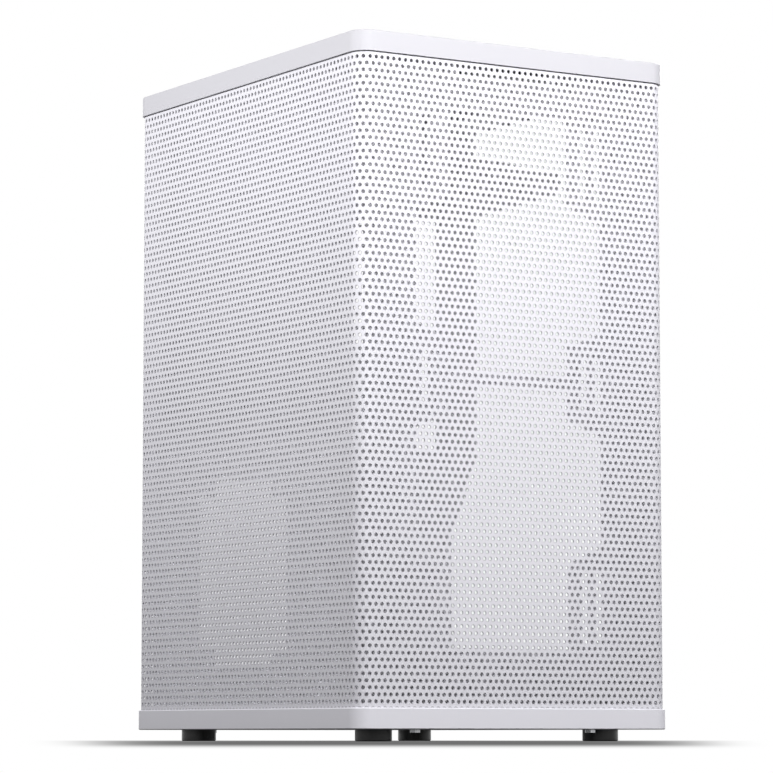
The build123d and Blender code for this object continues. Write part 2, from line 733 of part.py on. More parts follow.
def psu_frame():
    """Adapter frame on the rear panel; its corner tabs carry the power supply's screws."""
    low, depth = rear_face - cut_margin, psu_sheet + 2 * cut_margin
    half_x, half_z = psu_frame_w / 2, psu_frame_h / 2
    body = block(psu_middle_x - half_x, psu_middle_x + half_x, rear_face, rear_face + psu_sheet,
                 psu_middle_z - half_z, psu_middle_z + half_z)
    open_x, open_z = psu_width / 2, psu_height / 2 - psu_lip
    steps = [(open_x, open_z - psu_tab), (open_x - psu_tab, open_z - psu_tab), (open_x - psu_tab, open_z)]
    right_top = steps
    left_top = [(-x, z) for x, z in reversed(steps)]
    lower = [(-x, -z) for x, z in right_top + left_top]
    outline = [(psu_middle_x + x, psu_middle_z + z) for x, z in right_top + left_top + lower]
    body -= plate_xz(outline, low, low + depth)
    for x, z in psu_points:
        body -= rod(psu_hole, depth, (x, low, z), (0, 1, 0))
    for x, z in psu_screw_points:
        body -= clearance_hole(frame_screw_shank, depth, (x, low, z), (0, 1, 0))
    return body


def psu_frame_screws():
    y = rear_face + psu_sheet
    return group(screw((x, y, z), (0, 1, 0), frame_screw_head, frame_screw_head_height,
                       frame_screw_shank, frame_screw_length) for x, z in psu_screw_points)


def slot_cover(z):
    """Blanking plate of one expansion slot; its screw tab turns out through the rear panel."""
    z0, z1 = z - cover_width / 2, z + cover_width / 2
    tab_right = tab_left + cover_sheet
    body = block(slot_left - cover_overlap, tab_right, rear_inner - cover_sheet, rear_inner, z0, z1)
    body += block(tab_left, tab_right, rear_inner - cover_sheet, rear_face + tab_reach, z0, z1)
    at = (tab_left - cut_margin, thumbscrew_y, z)
    return body - clearance_hole(frame_screw_shank, cover_sheet + 2 * cut_margin, at, (1, 0, 0))


def slot_ledge():
    """Angle on the rear panel that the blanking plates are screwed to."""
    z0 = slot_middles[-1] - cover_width / 2 - ledge_sheet
    z1 = slot_middles[0] + cover_width / 2 + ledge_sheet
    body = block(ledge_left, ledge_left + ledge_sheet, rear_face, rear_face + tab_reach, z0, z1)
    body += block(ledge_left, ledge_left + ledge_foot, rear_face, rear_face + ledge_sheet, z0, z1)
    for z in slot_middles:
        at = (ledge_left - cut_margin, thumbscrew_y, z)
        body -= clearance_hole(frame_screw_shank, ledge_sheet + 2 * cut_margin, at, (1, 0, 0))
    return body


def thumbscrew(z):
    """Facetted thumbscrew, driven from the open side of the tabs."""
    at = (tab_left, thumbscrew_y, z)
    head = polygon_rod(thumbscrew_head, thumbscrew_sides, thumbscrew_head_height, at, (-1, 0, 0))
    reach = cover_sheet + ledge_sheet + frame_screw_length
    return head + polygon_rod(frame_screw_shank, 6, reach, at, (1, 0, 0))


def right_upright():
    """Side sheet at the right rear: a post on a tapered foot, with a forward arm and a corner relief."""
    x0, x1 = frame_right - chassis_sheet, frame_right
    taper_bottom = tray_bottom - upright_taper
    arm_tip_bottom, arm_root_bottom = arm_tip_top - arm_tip_height, arm_root_top - arm_root_height
    outline = [(upright_foot_front, floor_z), (rear_inner, floor_z), (rear_inner, rear_notch_bottom),
               (upright_notch_front, rear_notch_bottom), (upright_notch_front, rear_notch_top),
               (rear_inner, rear_notch_top), (rear_inner, frame_top), (upright_front, frame_top),
               (upright_front, arm_root_top), (arm_tip, arm_tip_top), (arm_tip, arm_tip_bottom),
               (upright_front, arm_root_bottom), (upright_front, tray_bottom),
               (upright_foot_front, taper_bottom)]
    body = plate_yz(outline, x0, x1)
    tip_edges = body.edges().filter_by(Axis.X).sort_by(Axis.Y)[:2]
    body = fillet(tip_edges, arm_round)
    body += block(x0 - flange, x1, upright_foot_front, rear_face - flange, floor_z, floor_z + chassis_sheet)
    for y, z in rear_stud_points:
        body -= stud_hole_x(y, z, x0 - cut_margin, x1 + cut_margin)
    return body


def top_deck():
    """Ring on top of the chassis, notched for the port housing."""
    low, high = frame_top - cut_margin, deck_top + cut_margin
    body = block(frame_left, frame_right, front_face, rear_face, frame_top, deck_top)
    body -= rounded_cut_z(deck_opening_x, deck_opening_y, deck_opening_radius, 0, deck_opening_shift,
                          low, high)
    notch = port_plate_width / 2 + port_sheet_clear
    notch_rear = port_y + port_plate_depth / 2 + port_sheet_clear
    body -= block(-notch, notch, front_face - cut_margin, notch_rear, low, high)
    for x, y in cover_stud_points:
        body -= stud_hole_z(x, y, low, high)
    for x in ear_points:
        body -= clearance_hole(frame_screw_shank, high - low, (x, port_y, low), (0, 0, 1))
    return body


# ---------------------------------------------------------------- ports and power button
def port_housing():
    """Moulded housing: port plate, a boss down to the circuit board, and two screw ears."""
    half = port_plate_width / 2
    y0, y1 = port_y - port_plate_depth / 2, port_y + port_plate_depth / 2
    body = rounded_cut_z(port_plate_width, port_plate_depth, port_plate_radius, 0, port_y,
                         port_side_bottom, port_top)
    body += block(port_boss_left, port_boss_right, y0, y1, port_board_top, port_side_bottom + cut_margin)
    for side in (-1, 1):
        post = sorted((side * (half - ear_post), side * half))
        ear = sorted((side * (half - ear_post), side * (half + ear_length)))
        y_low, y_high = port_y - ear_depth / 2, port_y + ear_depth / 2
        body += block(*post, y_low, y_high, deck_top, port_side_bottom + cut_margin)
        body += block(*ear, y_low, y_high, deck_top, deck_top + ear_sheet)
    for x in ear_points:
        at = (x, port_y, deck_top - cut_margin)
        body -= clearance_hole(frame_screw_shank, ear_sheet + 2 * cut_margin, at, (0, 0, 1))
    low = port_board_top - cut_margin
    depth = port_drop + 2 * cut_margin
    body -= block(usb_a_x - usb_a_width / 2, usb_a_x + usb_a_width / 2,
                  port_y - usb_a_depth / 2, port_y + usb_a_depth / 2, low, port_top + cut_margin)
    high = port_top + cut_margin
    body -= rounded_cut_z(usb_c_width, usb_c_depth, usb_c_radius, usb_c_x, port_y, low, high)
    body -= rod(audio_diameter, depth, (audio_x, port_y, low), (0, 0, 1))
    body -= rod(button_diameter + 2 * button_clear, depth, (button_x, port_y, low), (0, 0, 1))
    return body - rod(button_flange + 2 * button_clear, port_drop + cut_margin - button_throat,
                      (button_x, port_y, low), (0, 0, 1))


def port_board():
    """Circuit board across the underside of the housing; the ports and the switch stand on it."""
    half_x = port_plate_width / 2 - port_board_inset_x
    half_y = port_plate_depth / 2 - port_board_inset_y
    under = port_board_top - port_board_sheet
    return block(-half_x, half_x, port_y - half_y, port_y + half_y, under, port_board_top)


def usb_a_port():
    w, d = usb_a_width / 2, usb_a_depth / 2
    rim = port_top - usb_a_below
    mouth = rim - usb_a_bore
    body = block(usb_a_x - w, usb_a_x + w, port_y - d, port_y + d, port_board_top, rim)
    body -= block(usb_a_x - w + port_shell, usb_a_x + w - port_shell, port_y - d + port_shell,
                  port_y + d - port_shell, mouth, rim + cut_margin)
    tongue_y = port_y + usb_a_tongue_offset
    tongue_x = w - usb_a_tongue_inset
    return body + block(usb_a_x - tongue_x, usb_a_x + tongue_x, tongue_y, tongue_y + usb_a_tongue,
                        mouth - cut_margin, rim - cut_margin)


def usb_c_port():
    rim = port_top - usb_c_below
    mouth = rim - usb_c_bore
    inner_w, inner_d = usb_c_width - 2 * port_shell, usb_c_depth - 2 * port_shell
    body = rounded_cut_z(usb_c_width, usb_c_depth, usb_c_radius, usb_c_x, port_y, port_board_top, rim)
    body -= rounded_cut_z(inner_w, inner_d, usb_c_radius - port_shell, usb_c_x, port_y,
                          mouth, rim + cut_margin)
    w, d = usb_c_tongue_width / 2, usb_c_tongue / 2
    return body + block(usb_c_x - w, usb_c_x + w, port_y - d, port_y + d,
                        mouth - cut_margin, rim - cut_margin)


def audio_jack():
    body = rod(audio_diameter, port_drop - port_recess, (audio_x, port_y, port_board_top), (0, 0, 1))
    return body - rod(audio_bore, port_drop, (audio_x, port_y, port_board_top + audio_floor), (0, 0, 1))


def power_switch():
    """Tactile switch under the button: a square case with a round plunger."""
    half = switch_across / 2
    case_top = switch_top - switch_plunger_rise
    body = block(button_x - half, button_x + half, port_y - half, port_y + half, port_board_top, case_top)
    return body + rod(switch_plunger, switch_plunger_rise, (button_x, port_y, case_top), (0, 0, 1))


def power_button():
    """Round cap with a flange that keeps it in the housing."""
    at = (button_x, port_y, button_bottom)
    body = rod(button_diameter, port_top + button_proud - button_bottom, at, (0, 0, 1))
    body = chamfer(body.edges().group_by(Axis.Z)[-1], button_edge)
    return body + rod(button_flange, button_flange_sheet, at, (0, 0, 1))


def ear_screws():
    z = deck_top + ear_sheet
    return group(screw((x, port_y, z), (0, 0, 1), frame_screw_head, frame_screw_head_height,
                       frame_screw_shank, frame_screw_length) for x in ear_points)


# ---------------------------------------------------------------- drive plate
def drive_plate():
    """Raised bracket on the tray's floor for a 2.5 inch drive."""
    half_x = drive_width / 2 + drive_border_x
    half_y = drive_depth / 2 + drive_border_y
    x0, x1 = drive_x - half_x, drive_x + half_x
    y0, y1 = drive_y - half_y, drive_y + half_y
    low, high = floor_z + drive_lift, floor_z + drive_lift + chassis_sheet
    body = block(x0, x1, y0, y1, low, high)
    body -= block(x0 + drive_rim, x1 - drive_rim, y0 + drive_rim, y1 - drive_rim,
                  low - cut_margin, high + cut_margin)
    for x in (x0, x1 - chassis_sheet):
        body += block(x, x + chassis_sheet, y0, y1, floor_z, high)
    for sx, sy in signs:
        at = (drive_x + sx * drive_hole_x / 2, drive_y + sy * drive_hole_y / 2, low - cut_margin)
        body -= polygon_rod(drive_hole, bore_sides, chassis_sheet + 2 * cut_margin, at, (0, 0, 1))
    return body


# ---------------------------------------------------------------- all nodes
def main():
    os.makedirs("parts", exist_ok=True)
    write("base_tray", base_tray())
    write("feet", group(foot(x, y) for x, y in foot_points))
    write("foot_screws", group(foot_screw(x, y) for x, y in foot_points))
    write("seam_screws", seam_screws())
    write("top_cover", top_cover())
    write("cover_studs", cover_studs())
    write("cover_sockets", cover_sockets())
    write("mesh_shell", mesh_shell())
    write("glass_panel", glass_panel())
    write("glass_brackets", glass_brackets())
    write("glass_studs", glass_studs())
    write("glass_sockets", glass_sockets())
    write("front_fan_panel", front_fan_panel())
    write("motherboard_tray", motherboard_tray())
    write("standoffs", group(standoff(y, z) for y, z in board_points))
    write("rear_panel", rear_panel())
    write("rear_grille", rear_grille())
    write("psu_frame", psu_frame())
    write("psu_frame_screws", psu_frame_screws())
    for index, z in enumerate(slot_middles):
        write(f"slot_cover_{index + 1}", slot_cover(z))
    write("slot_ledge", slot_ledge())
    write("slot_screws", group(thumbscrew(z) for z in slot_middles))
    write("right_upright", right_upright())
    write("top_deck", top_deck())
    write("port_housing", port_housing())
    write("port_board", port_board())
    write("usb_a_port", usb_a_port())
    write("usb_c_port", usb_c_port())
    write("audio_jack", audio_jack())
    write("power_switch", power_switch())
    write("power_button", power_button())
    write("ear_screws", ear_screws())
    write("drive_plate", drive_plate())


main()
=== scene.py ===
import json
import math

import bpy
import numpy as np
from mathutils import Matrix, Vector


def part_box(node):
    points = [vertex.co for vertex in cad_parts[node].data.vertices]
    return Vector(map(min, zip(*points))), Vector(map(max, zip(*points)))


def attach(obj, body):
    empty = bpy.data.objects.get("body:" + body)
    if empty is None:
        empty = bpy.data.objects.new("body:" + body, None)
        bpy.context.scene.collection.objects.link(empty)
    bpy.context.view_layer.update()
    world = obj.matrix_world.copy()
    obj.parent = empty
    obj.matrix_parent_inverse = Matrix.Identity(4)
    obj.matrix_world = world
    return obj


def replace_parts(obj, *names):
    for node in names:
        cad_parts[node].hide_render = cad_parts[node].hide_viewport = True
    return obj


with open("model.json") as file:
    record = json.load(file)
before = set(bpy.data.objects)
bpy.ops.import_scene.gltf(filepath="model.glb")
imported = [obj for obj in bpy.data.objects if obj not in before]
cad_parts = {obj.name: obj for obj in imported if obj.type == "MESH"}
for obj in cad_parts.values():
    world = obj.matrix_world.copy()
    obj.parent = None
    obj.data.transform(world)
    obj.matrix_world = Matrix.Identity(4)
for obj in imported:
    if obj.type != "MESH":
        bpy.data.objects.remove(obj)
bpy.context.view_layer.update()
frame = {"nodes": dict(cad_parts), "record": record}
MM = 0.001

# ---------------------------------------------------------------- camera
# Solved from the rows of holes: they run level on both faces, so they give the lens and the place.
SENSOR_MM = 36.0
LENS_MM = 167.24
CAMERA_MM = Vector((-1137.885, -1844.18, 3.42))
FORWARD = Vector((0.5206, 0.8483, 0.0967))
CLIP_END_M = 50.0


def add_camera():
    data = bpy.data.cameras.new("camera")
    data.sensor_width = SENSOR_MM
    data.lens = LENS_MM
    data.clip_end = CLIP_END_M
    camera = bpy.data.objects.new("camera", data)
    bpy.context.scene.collection.objects.link(camera)
    camera.location = CAMERA_MM * MM
    camera.rotation_euler = FORWARD.to_track_quat("-Z", "Y").to_euler()
    bpy.context.scene.camera = camera


# ---------------------------------------------------------------- node helpers
def math_node(tree, operation, a, b=0.0, c=0.0):
    """Result of a math node. Each term is a number or a socket."""
    node = tree.nodes.new("ShaderNodeMath")
    node.operation = operation
    for socket, value in zip(node.inputs, (a, b, c)):
        if isinstance(value, (int, float)):
            socket.default_value = value
        else:
            tree.links.new(value, socket)
    return node.outputs[0]


def ramp(tree, value, low, high, start=0.0, end=1.0, smooth=False):
    """Runs from low to high while the value runs from start to end."""
    node = tree.nodes.new("ShaderNodeMapRange")
    node.interpolation_type = "SMOOTHSTEP" if smooth else "LINEAR"
    node.inputs["From Min"].default_value = start
    node.inputs["From Max"].default_value = end
    node.inputs["To Min"].default_value = low
    node.inputs["To Max"].default_value = high
    tree.links.new(value, node.inputs["Value"])
    return node.outputs["Result"]


def split_xyz(tree, vector):
    """Sockets X, Y and Z of a vector socket."""
    split = tree.nodes.new("ShaderNodeSeparateXYZ")
    tree.links.new(vector, split.inputs[0])
    return split.outputs


def own_place(tree):
    """Sockets of a place in the coordinates of its own object, in metres."""
    return split_xyz(tree, tree.nodes.new("ShaderNodeTexCoord").outputs["Object"])


def scale_color(material, share):
    """Multiplies the colour of a paint by a share between 0 and 1."""
    tree = material.node_tree
    color = tree.nodes["Principled BSDF"].inputs["Base Color"]
    scale = tree.nodes.new("ShaderNodeVectorMath")
    scale.operation = "SCALE"
    tree.links.new(color.links[0].from_socket, scale.inputs[0])
    tree.links.new(share, scale.inputs["Scale"])
    tree.links.new(scale.outputs[0], color)


# ---------------------------------------------------------------- materials
class Shade:
    """One node material with a Principled shader."""

    def __init__(self, name, color, roughness, metallic=0.0):
        self.material = bpy.data.materials.new(name)
        self.material.use_nodes = True
        self.tree = self.material.node_tree
        self.shader = self.tree.nodes["Principled BSDF"]
        self.shader.inputs["Base Color"].default_value = (*color, 1.0)
        self.shader.inputs["Roughness"].default_value = roughness
        self.shader.inputs["Metallic"].default_value = metallic
        self.color = color
        self.roughness = roughness
        self.place = self.tree.nodes.new("ShaderNodeTexCoord").outputs["Object"]

    def noise(self, size_mm, detail=2.0, stretch=(1, 1, 1)):
        """Noise whose grains are about size_mm across."""
        node = self.tree.nodes.new("ShaderNodeTexNoise")
        node.inputs["Scale"].default_value = 1.0
        node.inputs["Detail"].default_value = detail
        mapping = self.tree.nodes.new("ShaderNodeMapping")
        mapping.inputs["Scale"].default_value = [s / (size_mm * MM) for s in stretch]
        self.tree.links.new(self.place, mapping.inputs["Vector"])
        self.tree.links.new(mapping.outputs["Vector"], node.inputs["Vector"])
        return node.outputs["Fac"]

    def tint(self, factor, dark, light):
        """Base colour that runs between two shares of the base colour."""
        mix = self.tree.nodes.new("ShaderNodeMix")
        mix.data_type = "RGBA"
        mix.inputs["A"].default_value = (*[c * dark for c in self.color], 1.0)
        mix.inputs["B"].default_value = (*[min(1.0, c * light) for c in self.color], 1.0)
        self.tree.links.new(factor, mix.inputs["Factor"])
        self.tree.links.new(mix.outputs["Result"], self.shader.inputs["Base Color"])

    def vary_roughness(self, factor, spread):
        varied = ramp(self.tree, factor, self.roughness - spread, self.roughness + spread)
        self.tree.links.new(varied, self.shader.inputs["Roughness"])

    def bump(self, factor, height_mm):
        node = self.tree.nodes.new("ShaderNodeBump")
        node.inputs["Distance"].default_value = height_mm * MM
        self.tree.links.new(factor, node.inputs["Height"])
        self.tree.links.new(node.outputs["Normal"], self.shader.inputs["Normal"])


def powder_coat(name, color, roughness=0.48):
    """Fine orange-peel powder coat."""
    shade = Shade(name, color, roughness)
    grain = shade.noise(size_mm=0.45, detail=3.0)
    shade.tint(shade.noise(size_mm=60.0), dark=0.985, light=1.01)
    shade.vary_roughness(grain, spread=0.05)
    shade.bump(grain, height_mm=0.012)
    return shade.material


def moulded(name, color, roughness=0.55, grain_mm=0.5, height_mm=0.02):
    """Plastic, rubber or lacquer from a slightly rough mould."""
    shade = Shade(name, color, roughness)
    grain = shade.noise(grain_mm)
    shade.tint(shade.noise(size_mm=9.0), dark=0.9, light=1.1)
    shade.vary_roughness(grain, spread=0.06)
    shade.bump(grain, height_mm)
    return shade.material


def plated(name, color, roughness=0.28):
    """Turned or pressed metal with a fine directional grain."""
    shade = Shade(name, color, roughness, metallic=1.0)
    grain = shade.noise(size_mm=0.25, stretch=(1, 1, 0.1))
    shade.tint(shade.noise(size_mm=2.0), dark=0.92, light=1.04)
    shade.vary_roughness(grain, spread=0.08)
    shade.bump(grain, height_mm=0.004)
    return shade.material


def clear_glass(name, color, roughness=0.02, refraction=1.45, smear_roughness=0.03):
    """Clear pane with faint, wide smears."""
    shade = Shade(name, color, roughness)
    shade.shader.inputs["Transmission Weight"].default_value = 1.0
    shade.shader.inputs["IOR"].default_value = refraction
    smears = ramp(shade.tree, shade.noise(size_mm=55.0, detail=3.0), 0.0, smear_roughness)
    shade.tree.links.new(smears, shade.shader.inputs["Roughness"])
    return shade.material


WHITE = (0.86, 0.85, 0.91)
# Painted shade and painted light: the cover's copy of the same white powder coat is darker, and the base
# tray's lighter, than the shell's.
COVER_WHITE_PAINTED_SHADE = (0.63, 0.623, 0.667)
BASE_WHITE_PAINTED_LIGHT = (0.93, 0.92, 0.985)
CHASSIS_WHITE = (0.82, 0.82, 0.84)
# By material slot. Two pieces that have a paint of their own are named as in the record, and "perforated" is
# the shell's.
materials = {
    "white_steel": powder_coat("white_powder_coat", WHITE),
    "perforated": powder_coat("perforated_powder_coat_painted_shade", WHITE),
    "top_cover": powder_coat("cover_powder_coat_painted_shade", COVER_WHITE_PAINTED_SHADE),
    "base_tray": powder_coat("base_powder_coat_painted_light_and_shade", BASE_WHITE_PAINTED_LIGHT),
    "chassis_steel": powder_coat("inner_powder_coat", CHASSIS_WHITE, roughness=0.55),
    "dark_steel": powder_coat("black_coat", (0.03, 0.03, 0.03)),
    "zinc_screw": plated("zinc_plate", (0.62, 0.63, 0.65)),
    "black_nylon": moulded("black_nylon", (0.025, 0.025, 0.026)),
    "white_nylon": moulded("white_nylon", (0.75, 0.75, 0.76)),
    "clear_glass": clear_glass("tempered_glass", (0.97, 0.99, 0.985)),
    "foot_rubber": moulded("foot_rubber", (0.022, 0.022, 0.023), roughness=0.3, grain_mm=0.8,
                           height_mm=0.008),
    "brass_standoff": plated("brass", (0.72, 0.52, 0.22)),
    "circuit_board": moulded("solder_mask", (0.015, 0.05, 0.03), roughness=0.35),
    "port_metal": plated("port_plate", (0.7, 0.7, 0.7), roughness=0.3),
    "button_white": moulded("button_white", (0.8, 0.8, 0.83), roughness=0.3, grain_mm=0.6, height_mm=0.006),
}


def finish_cad_nodes():
    """Every CAD piece takes its own paint if it has one, or else its slot's."""
    slots = {row["node"]: row["material_slot"] for row in frame["record"]["subparts"]}
    for name, node in frame["nodes"].items():
        node.data.materials.clear()
        node.data.materials.append(materials.get(name) or materials[slots[name]])


# ---------------------------------------------------------------- perforated shell, in millimetres
SHELL_RADIUS = 9.1       # outer radius of its bends
SHELL_SHEET = 0.7
SHELL_RETURN = 14.75     # shell beyond the front-right and rear-left corners
HOLE_RADIUS = 1.03
HOLE_PITCH = 3.9         # along a row
ROW_PITCH = 3.865
ROWS = 96                # even, so the top row is one of those that stand half a pitch over
LOWEST_ROW = 22.3        # height of its centres
ROW_PHASE = 1.606        # first hole of an even row, from the start of the front's flat
HOLE_SIDES = 12          # the polygons between the holes are written for this number
EDGE_MARGIN = 2.6        # least distance from a hole's centre to the sheet's upright edges
CREASE_DEG = 35
RIM_WIDTH = 6.0
RIM_NOTCH = 39.0         # half the gap in the rim at the ports
RIM_STEPS = 160          # points along each part of the rim

shell_low, shell_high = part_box("mesh_shell")
SHELL_W = (shell_high.x - shell_low.x) / MM
SHELL_D = (shell_high.y - shell_low.y) / MM
SHELL_Z0, SHELL_Z1 = shell_low.z / MM, shell_high.z / MM
CORNER_RUN = math.pi / 2 * SHELL_RADIUS
FRONT_RUN = SHELL_W - 2 * SHELL_RADIUS
SIDE_RUN = SHELL_D - 2 * SHELL_RADIUS
END_RUN = SHELL_RETURN - SHELL_RADIUS
S_RIGHT = FRONT_RUN + CORNER_RUN + END_RUN
S_LEFT = -(2 * CORNER_RUN + SIDE_RUN + END_RUN)


def on_shell(s, inset):
    """Plan position on the shell. s runs along its outer face: 0 where the front's flat starts at the left,
    rising to the right across the front, and falling round the corner and back along the left side."""
    half_w, half_d, r = SHELL_W / 2, SHELL_D / 2, SHELL_RADIUS
    s = np.asarray(s, float)
    inset = np.broadcast_to(np.asarray(inset, float), s.shape)
    x, y = np.zeros_like(s), np.zeros_like(s)

    def flat(mask, point, along, normal, start):
        t = s[mask] - start
        x[mask] = point[0] + along[0] * t - normal[0] * inset[mask]
        y[mask] = point[1] + along[1] * t - normal[1] * inset[mask]

    def bend(mask, centre, angle_at_start, start):
        angle = angle_at_start + (s[mask] - start) / r
        x[mask] = centre[0] + (r - inset[mask]) * np.cos(angle)
        y[mask] = centre[1] + (r - inset[mask]) * np.sin(angle)

    left_bend, side_start = -CORNER_RUN, -CORNER_RUN - SIDE_RUN
    rear_bend = side_start - CORNER_RUN
    right_bend = FRONT_RUN + CORNER_RUN
    flat((s >= 0) & (s <= FRONT_RUN), (-half_w + r, -half_d), (1, 0), (0, -1), 0)
    bend((s > FRONT_RUN) & (s <= right_bend), (half_w - r, -half_d + r), -math.pi / 2, FRONT_RUN)
    flat(s > right_bend, (half_w, -half_d + r), (0, 1), (1, 0), right_bend)
    bend((s < 0) & (s > left_bend), (-half_w + r, -half_d + r), -math.pi / 2, 0)
    flat((s <= left_bend) & (s >= side_start), (-half_w, -half_d + r), (0, -1), (-1, 0), left_bend)
    bend((s < side_start) & (s > rear_bend), (-half_w + r, half_d - r), -math.pi, side_start)
    flat(s <= rear_bend, (-half_w + r, half_d), (-1, 0), (0, 1), rear_bend)
    return x, y


def strip_polygons(columns, left_end, right_end):
    """Plane pattern of one strip of the sheet: its points (s, z), polygons and outline.
    An end is the s of the sheet's own straight edge, or None half way between two columns of holes."""
    n, last, top = len(columns), len(columns) - 1, ROWS - 1
    row, place = np.meshgrid(np.arange(ROWS), np.arange(n), indexing="ij")
    centre_s = ROW_PHASE + HOLE_PITCH * np.asarray(columns)[place] + HOLE_PITCH / 2 * (row % 2)
    centre_z = LOWEST_ROW + ROW_PITCH * row
    turn = 360 / HOLE_SIDES
    angles = np.radians(turn / 2 + turn * np.arange(HOLE_SIDES))
    s = centre_s[..., None] + HOLE_RADIUS * np.cos(angles)
    z = centre_z[..., None] + HOLE_RADIUS * np.sin(angles)
    corners = np.stack([s.ravel(), z.ravel()], axis=1)
    polygons, extra = [], []

    def arc(j, i, *numbers):
        """Corners of hole i in row j. They are numbered 0 to 11 anticlockwise, from 15 degrees."""
        return [(j * n + i) * HOLE_SIDES + k for k in numbers]

    def point(s, z):
        extra.append((s, z))
        return len(corners) + len(extra) - 1

    def end_points(j, z):
        """Points at height z on the strip's two ends beside row j, which may be half a row up."""
        shift = 0.25 if j % 1 else 0.5 * (j % 2)      # in pitches; the odd rows stand half a pitch over
        left = ROW_PHASE + HOLE_PITCH * (columns[0] - 0.5 + shift) if left_end is None else left_end
        right = ROW_PHASE + HOLE_PITCH * (columns[-1] + 0.5 + shift) if right_end is None else right_end
        return point(left, z), point(right, z)

    # between the holes of a row, then between each row and the next
    for j in range(ROWS):
        for i in range(last):
            polygons.append(arc(j, i, 11) + arc(j, i + 1, 6, 5) + arc(j, i, 0))
    for j in range(top):
        for i in range(n):
            right = i + j % 2
            left = right - 1
            if right < n:
                polygons.append(arc(j, i, 1) + arc(j + 1, right, 8, 7) + arc(j, i, 2))
            if left >= 0:
                polygons.append(arc(j, i, 3) + arc(j + 1, left, 10, 9) + arc(j, i, 4))
            if i < last:
                polygons.append(arc(j, i, 0) + arc(j, i + 1, 5, 4) + arc(j + 1, right, 9, 8) + arc(j, i, 1))
            if right < n and left >= 0:
                over = arc(j + 1, right, 7, 6) + arc(j + 1, left, 11, 10)
                polygons.append(arc(j, i, 2) + over + arc(j, i, 3))

    # under the lowest row and over the top one
    def edge_points(j, left, right, z):
        """Points at height z: one in line with the left corner of each hole of a row, and one in line with
        the right corner of its last hole."""
        beside = [arc(j, i, left)[0] for i in range(n)] + arc(j, last, right)
        return [point(corners[k, 0], z) for k in beside]

    floor_points = edge_points(0, 6, 11, SHELL_Z0)
    roof_points = edge_points(top, 5, 0, SHELL_Z1)
    for i in range(n):
        next_low = arc(0, i + 1, 6) if i < last else []
        next_high = arc(top, i + 1, 5) if i < last else []
        polygons.append(floor_points[i:i + 2] + next_low + arc(0, i, 11, 10, 9, 8, 7, 6))
        polygons.append([roof_points[i]] + arc(top, i, 5, 4, 3, 2, 1, 0) + next_high + [roof_points[i + 1]])

    # beside the first and the last hole of each row
    low_left, low_right = end_points(0, SHELL_Z0)
    high_left, high_right = end_points(top, SHELL_Z1)
    outline_left, outline_right = [], []
    below = low_left, low_right
    for j in range(ROWS):
        beside = end_points(j, LOWEST_ROW + ROW_PITCH * j)
        above = high_left, high_right
        if j < top:
            above = end_points(j + 0.5, LOWEST_ROW + ROW_PITCH * (j + 0.5))
        if j == 0:
            left = [floor_points[0]] + arc(j, 0, 6, 5, 4, 3, 2)
            right = [floor_points[-1]] + arc(j, last, 11, 0, 1) + arc(j + 1, last, 8)
        elif j == top:
            left = arc(j - 1, 0, 2) + arc(j, 0, 7, 6, 5) + [roof_points[0]]
            right = arc(j, last, 8, 9, 10, 11, 0) + [roof_points[-1]]
        elif j % 2 == 0:
            left = arc(j, 0, 9, 8, 7, 6, 5, 4, 3, 2)
            right = arc(j - 1, last, 3) + arc(j, last, 10, 11, 0, 1) + arc(j + 1, last, 8)
        else:
            left = arc(j - 1, 0, 2) + arc(j, 0, 7, 6, 5, 4) + arc(j + 1, 0, 9)
            right = arc(j, last, 8, 9, 10, 11, 0, 1, 2, 3)
        polygons.append([beside[0], below[0]] + left + [above[0]])
        polygons.append([below[1], beside[1], above[1]] + right[::-1])
        outline_left += [below[0], beside[0]]
        outline_right += [below[1], beside[1]]
        below = above
    outline = ([low_left] + floor_points + outline_right + [high_right] + roof_points[::-1]
               + [high_left] + outline_left[:0:-1])
    return np.concatenate([corners, extra]), polygons, outline


def build_strip(name, columns, left_end, right_end):
    """Piece of the shell: the plane pattern bent into shape, twice, with walls between the two faces."""
    flat, polygons, outline = strip_polygons(columns, left_end, right_end)
    count = len(flat)
    faces = polygons + [[k + count for k in reversed(p)] for p in polygons]
    for first in range(0, ROWS * len(columns) * HOLE_SIDES, HOLE_SIDES):
        for k in range(HOLE_SIDES):
            a, b = first + k, first + (k + 1) % HOLE_SIDES
            faces.append([a, b, b + count, a + count])
    for a, b in zip(outline, outline[1:] + outline[:1]):
        faces.append([a + count, b + count, b, a])
    sides = [np.stack([*on_shell(flat[:, 0], inset), flat[:, 1]], axis=1) for inset in (0.0, SHELL_SHEET)]
    mesh = bpy.data.meshes.new(name)
    mesh.from_pydata((np.concatenate(sides) * MM).tolist(), [], faces)
    sheet = mesh.uv_layers.new(name="sheet")
    corners = np.empty(len(mesh.loops), dtype=np.int32)
    mesh.loops.foreach_get("vertex_index", corners)
    sheet.data.foreach_set("uv", flat[corners % count].astype(np.float32).ravel())
    mesh.validate()
    mesh.shade_smooth()
    mesh.set_sharp_from_angle(angle=math.radians(CREASE_DEG))
    return dress(name, mesh, "chassis", materials["perforated"])


def dress(name, mesh, body, material):
    """Puts a mesh into the scene as a visible piece."""
    mesh.materials.append(material)
    piece = bpy.data.objects.new(name, mesh)
    bpy.context.scene.collection.objects.link(piece)
    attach(piece, body)
    return piece


